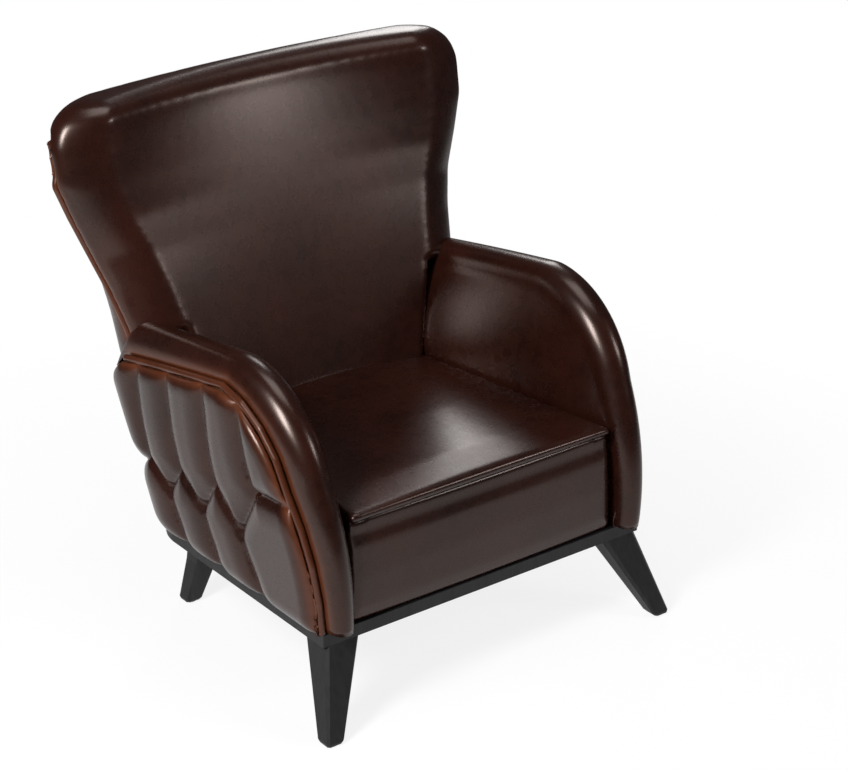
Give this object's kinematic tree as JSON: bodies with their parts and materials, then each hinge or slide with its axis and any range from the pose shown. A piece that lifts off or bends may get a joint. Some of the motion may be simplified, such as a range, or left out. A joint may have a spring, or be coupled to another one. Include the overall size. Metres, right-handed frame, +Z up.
{
  "type": "wing armchair",
  "caption": "Leather wing armchair with rolled wings and arms, a tight crowned seat, deep diamond tufting on the outside of arms and back, and a dark wood plinth on four splayed legs.",
  "frame": {"origin": "middle of the footprint box on the floor", "axes": "+Z up, the chair faces -Y, +X is to the sitter's left"},
  "size_m": [0.948, 0.8631, 1.01],
  "materials": {
    "leather": "smooth glossy dark brown leather",
    "dark_wood": "near-black stained wood, satin",
    "frame_wood": "raw hardwood and plywood",
    "steel": "zinc plated steel",
    "glide_plastic": "matt black plastic",
    "webbing_cloth": "woven webbing and lining cloth",
    "foam": "upholstery foam"
  },
  "bodies": {
    "root": {"arm_board_left": "frame_wood", "arm_board_right": "frame_wood", "arm_left": "leather", "arm_piping_left": "leather", "arm_piping_right": "leather", "arm_post_left": "frame_wood", "arm_post_right": "frame_wood", "arm_rail_left": "frame_wood", "arm_rail_right": "frame_wood", "arm_right": "leather", "back_board_belt": "frame_wood", "back_board_low": "frame_wood", "back_board_middle": "frame_wood", "back_board_top": "frame_wood", "back_post_left": "frame_wood", "back_post_right": "frame_wood", "back_webbing": "webbing_cloth", "dust_cover": "webbing_cloth", "foot_glides": "glide_plastic", "front_leg_left": "dark_wood", "front_leg_right": "dark_wood", "inside_back": "leather", "leg_bolts": "steel", "outside_arm_left": "leather", "outside_arm_right": "leather", "outside_back_tufted": "leather", "outside_back_upper": "leather", "plinth_back": "dark_wood", "plinth_front": "dark_wood", "plinth_side_left": "dark_wood", "plinth_side_right": "dark_wood", "rear_leg_left": "dark_wood", "rear_leg_right": "dark_wood", "seat_deck": "webbing_cloth", "seat_foam": "foam", "seat_front_border": "leather", "seat_pad": "leather", "seat_rail_back": "frame_wood", "seat_rail_front": "frame_wood", "seat_rail_side_left": "frame_wood", "seat_rail_side_right": "frame_wood", "seat_webbing_cross": "webbing_cloth", "seat_webbing_long": "webbing_cloth", "top_piping": "leather", "wing_board_left": "frame_wood", "wing_board_right": "frame_wood", "wing_left": "leather", "wing_piping_left": "leather", "wing_piping_right": "leather", "wing_right": "leather"}
  },
  "joints": []
}
